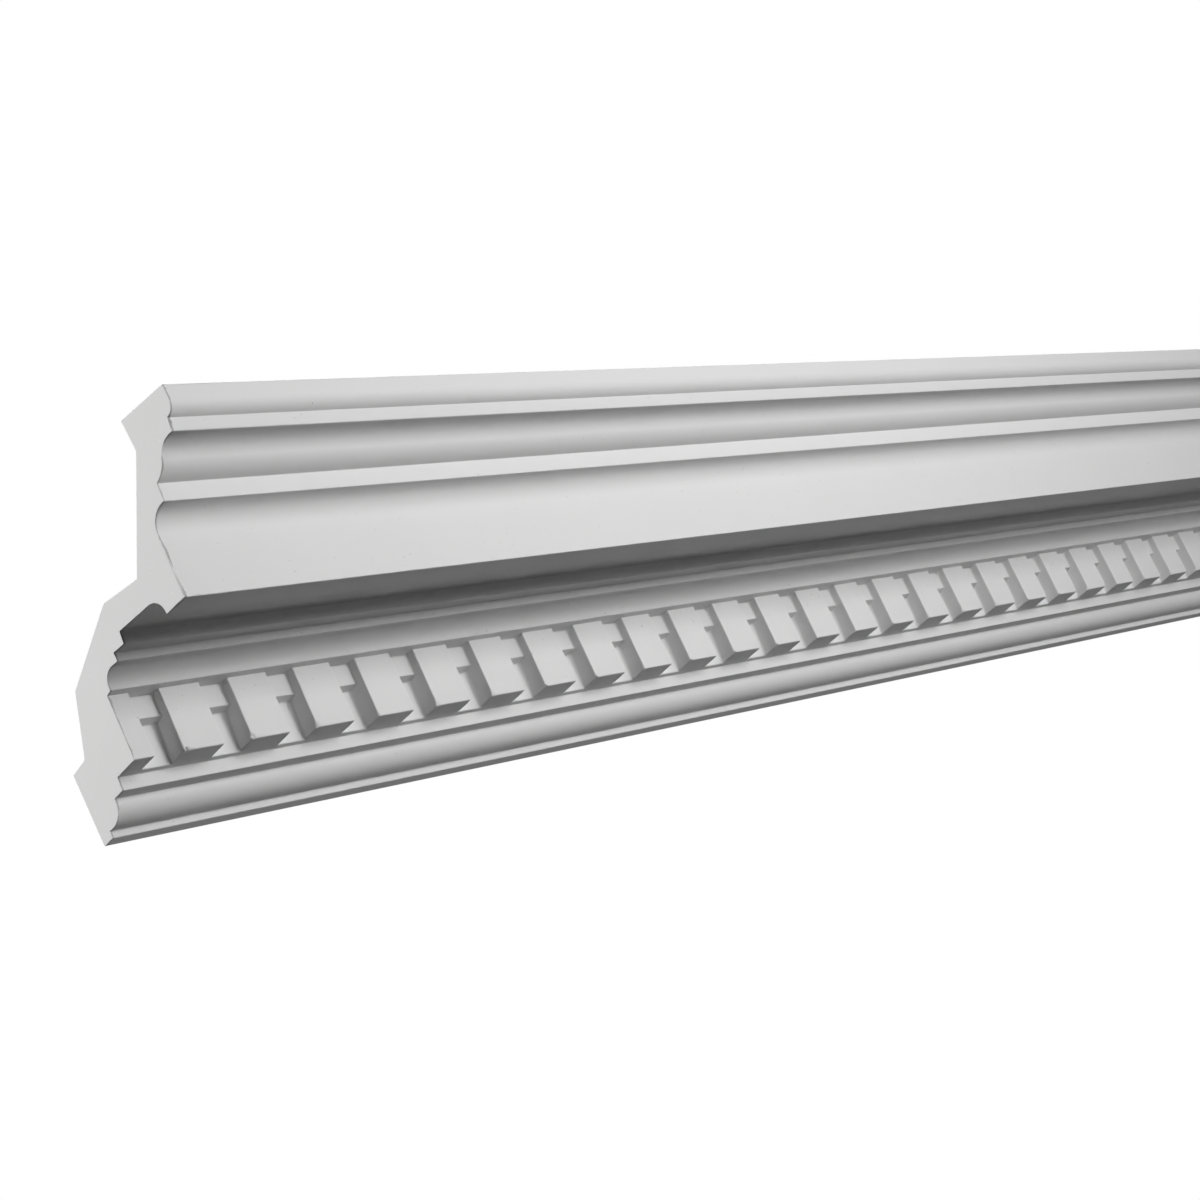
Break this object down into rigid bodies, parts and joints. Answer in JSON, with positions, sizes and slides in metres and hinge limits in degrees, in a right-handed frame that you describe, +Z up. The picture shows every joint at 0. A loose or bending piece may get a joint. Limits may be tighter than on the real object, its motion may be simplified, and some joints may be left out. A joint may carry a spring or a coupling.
{
  "type": "dentil cornice moulding length",
  "caption": "One-piece cornice moulding length with a corona, a drip groove, coves and a row of bridged dentils, cut square at both ends, with flat faces that bear on wall and ceiling.",
  "frame": {"origin": "middle of the flat face that bears on the wall, halfway along the length", "axes": "+X along the length, +Y into the wall (the moulded front faces -Y), +Z up to the ceiling"},
  "size_m": [1.4352, 0.1835, 0.19],
  "materials": {
    "primed_foam": "factory-primed matt white rigid polyurethane, fine mould skin, smooth saw cut at each end"
  },
  "bodies": {
    "root": {"cornice_length": "primed_foam"}
  },
  "joints": []
}
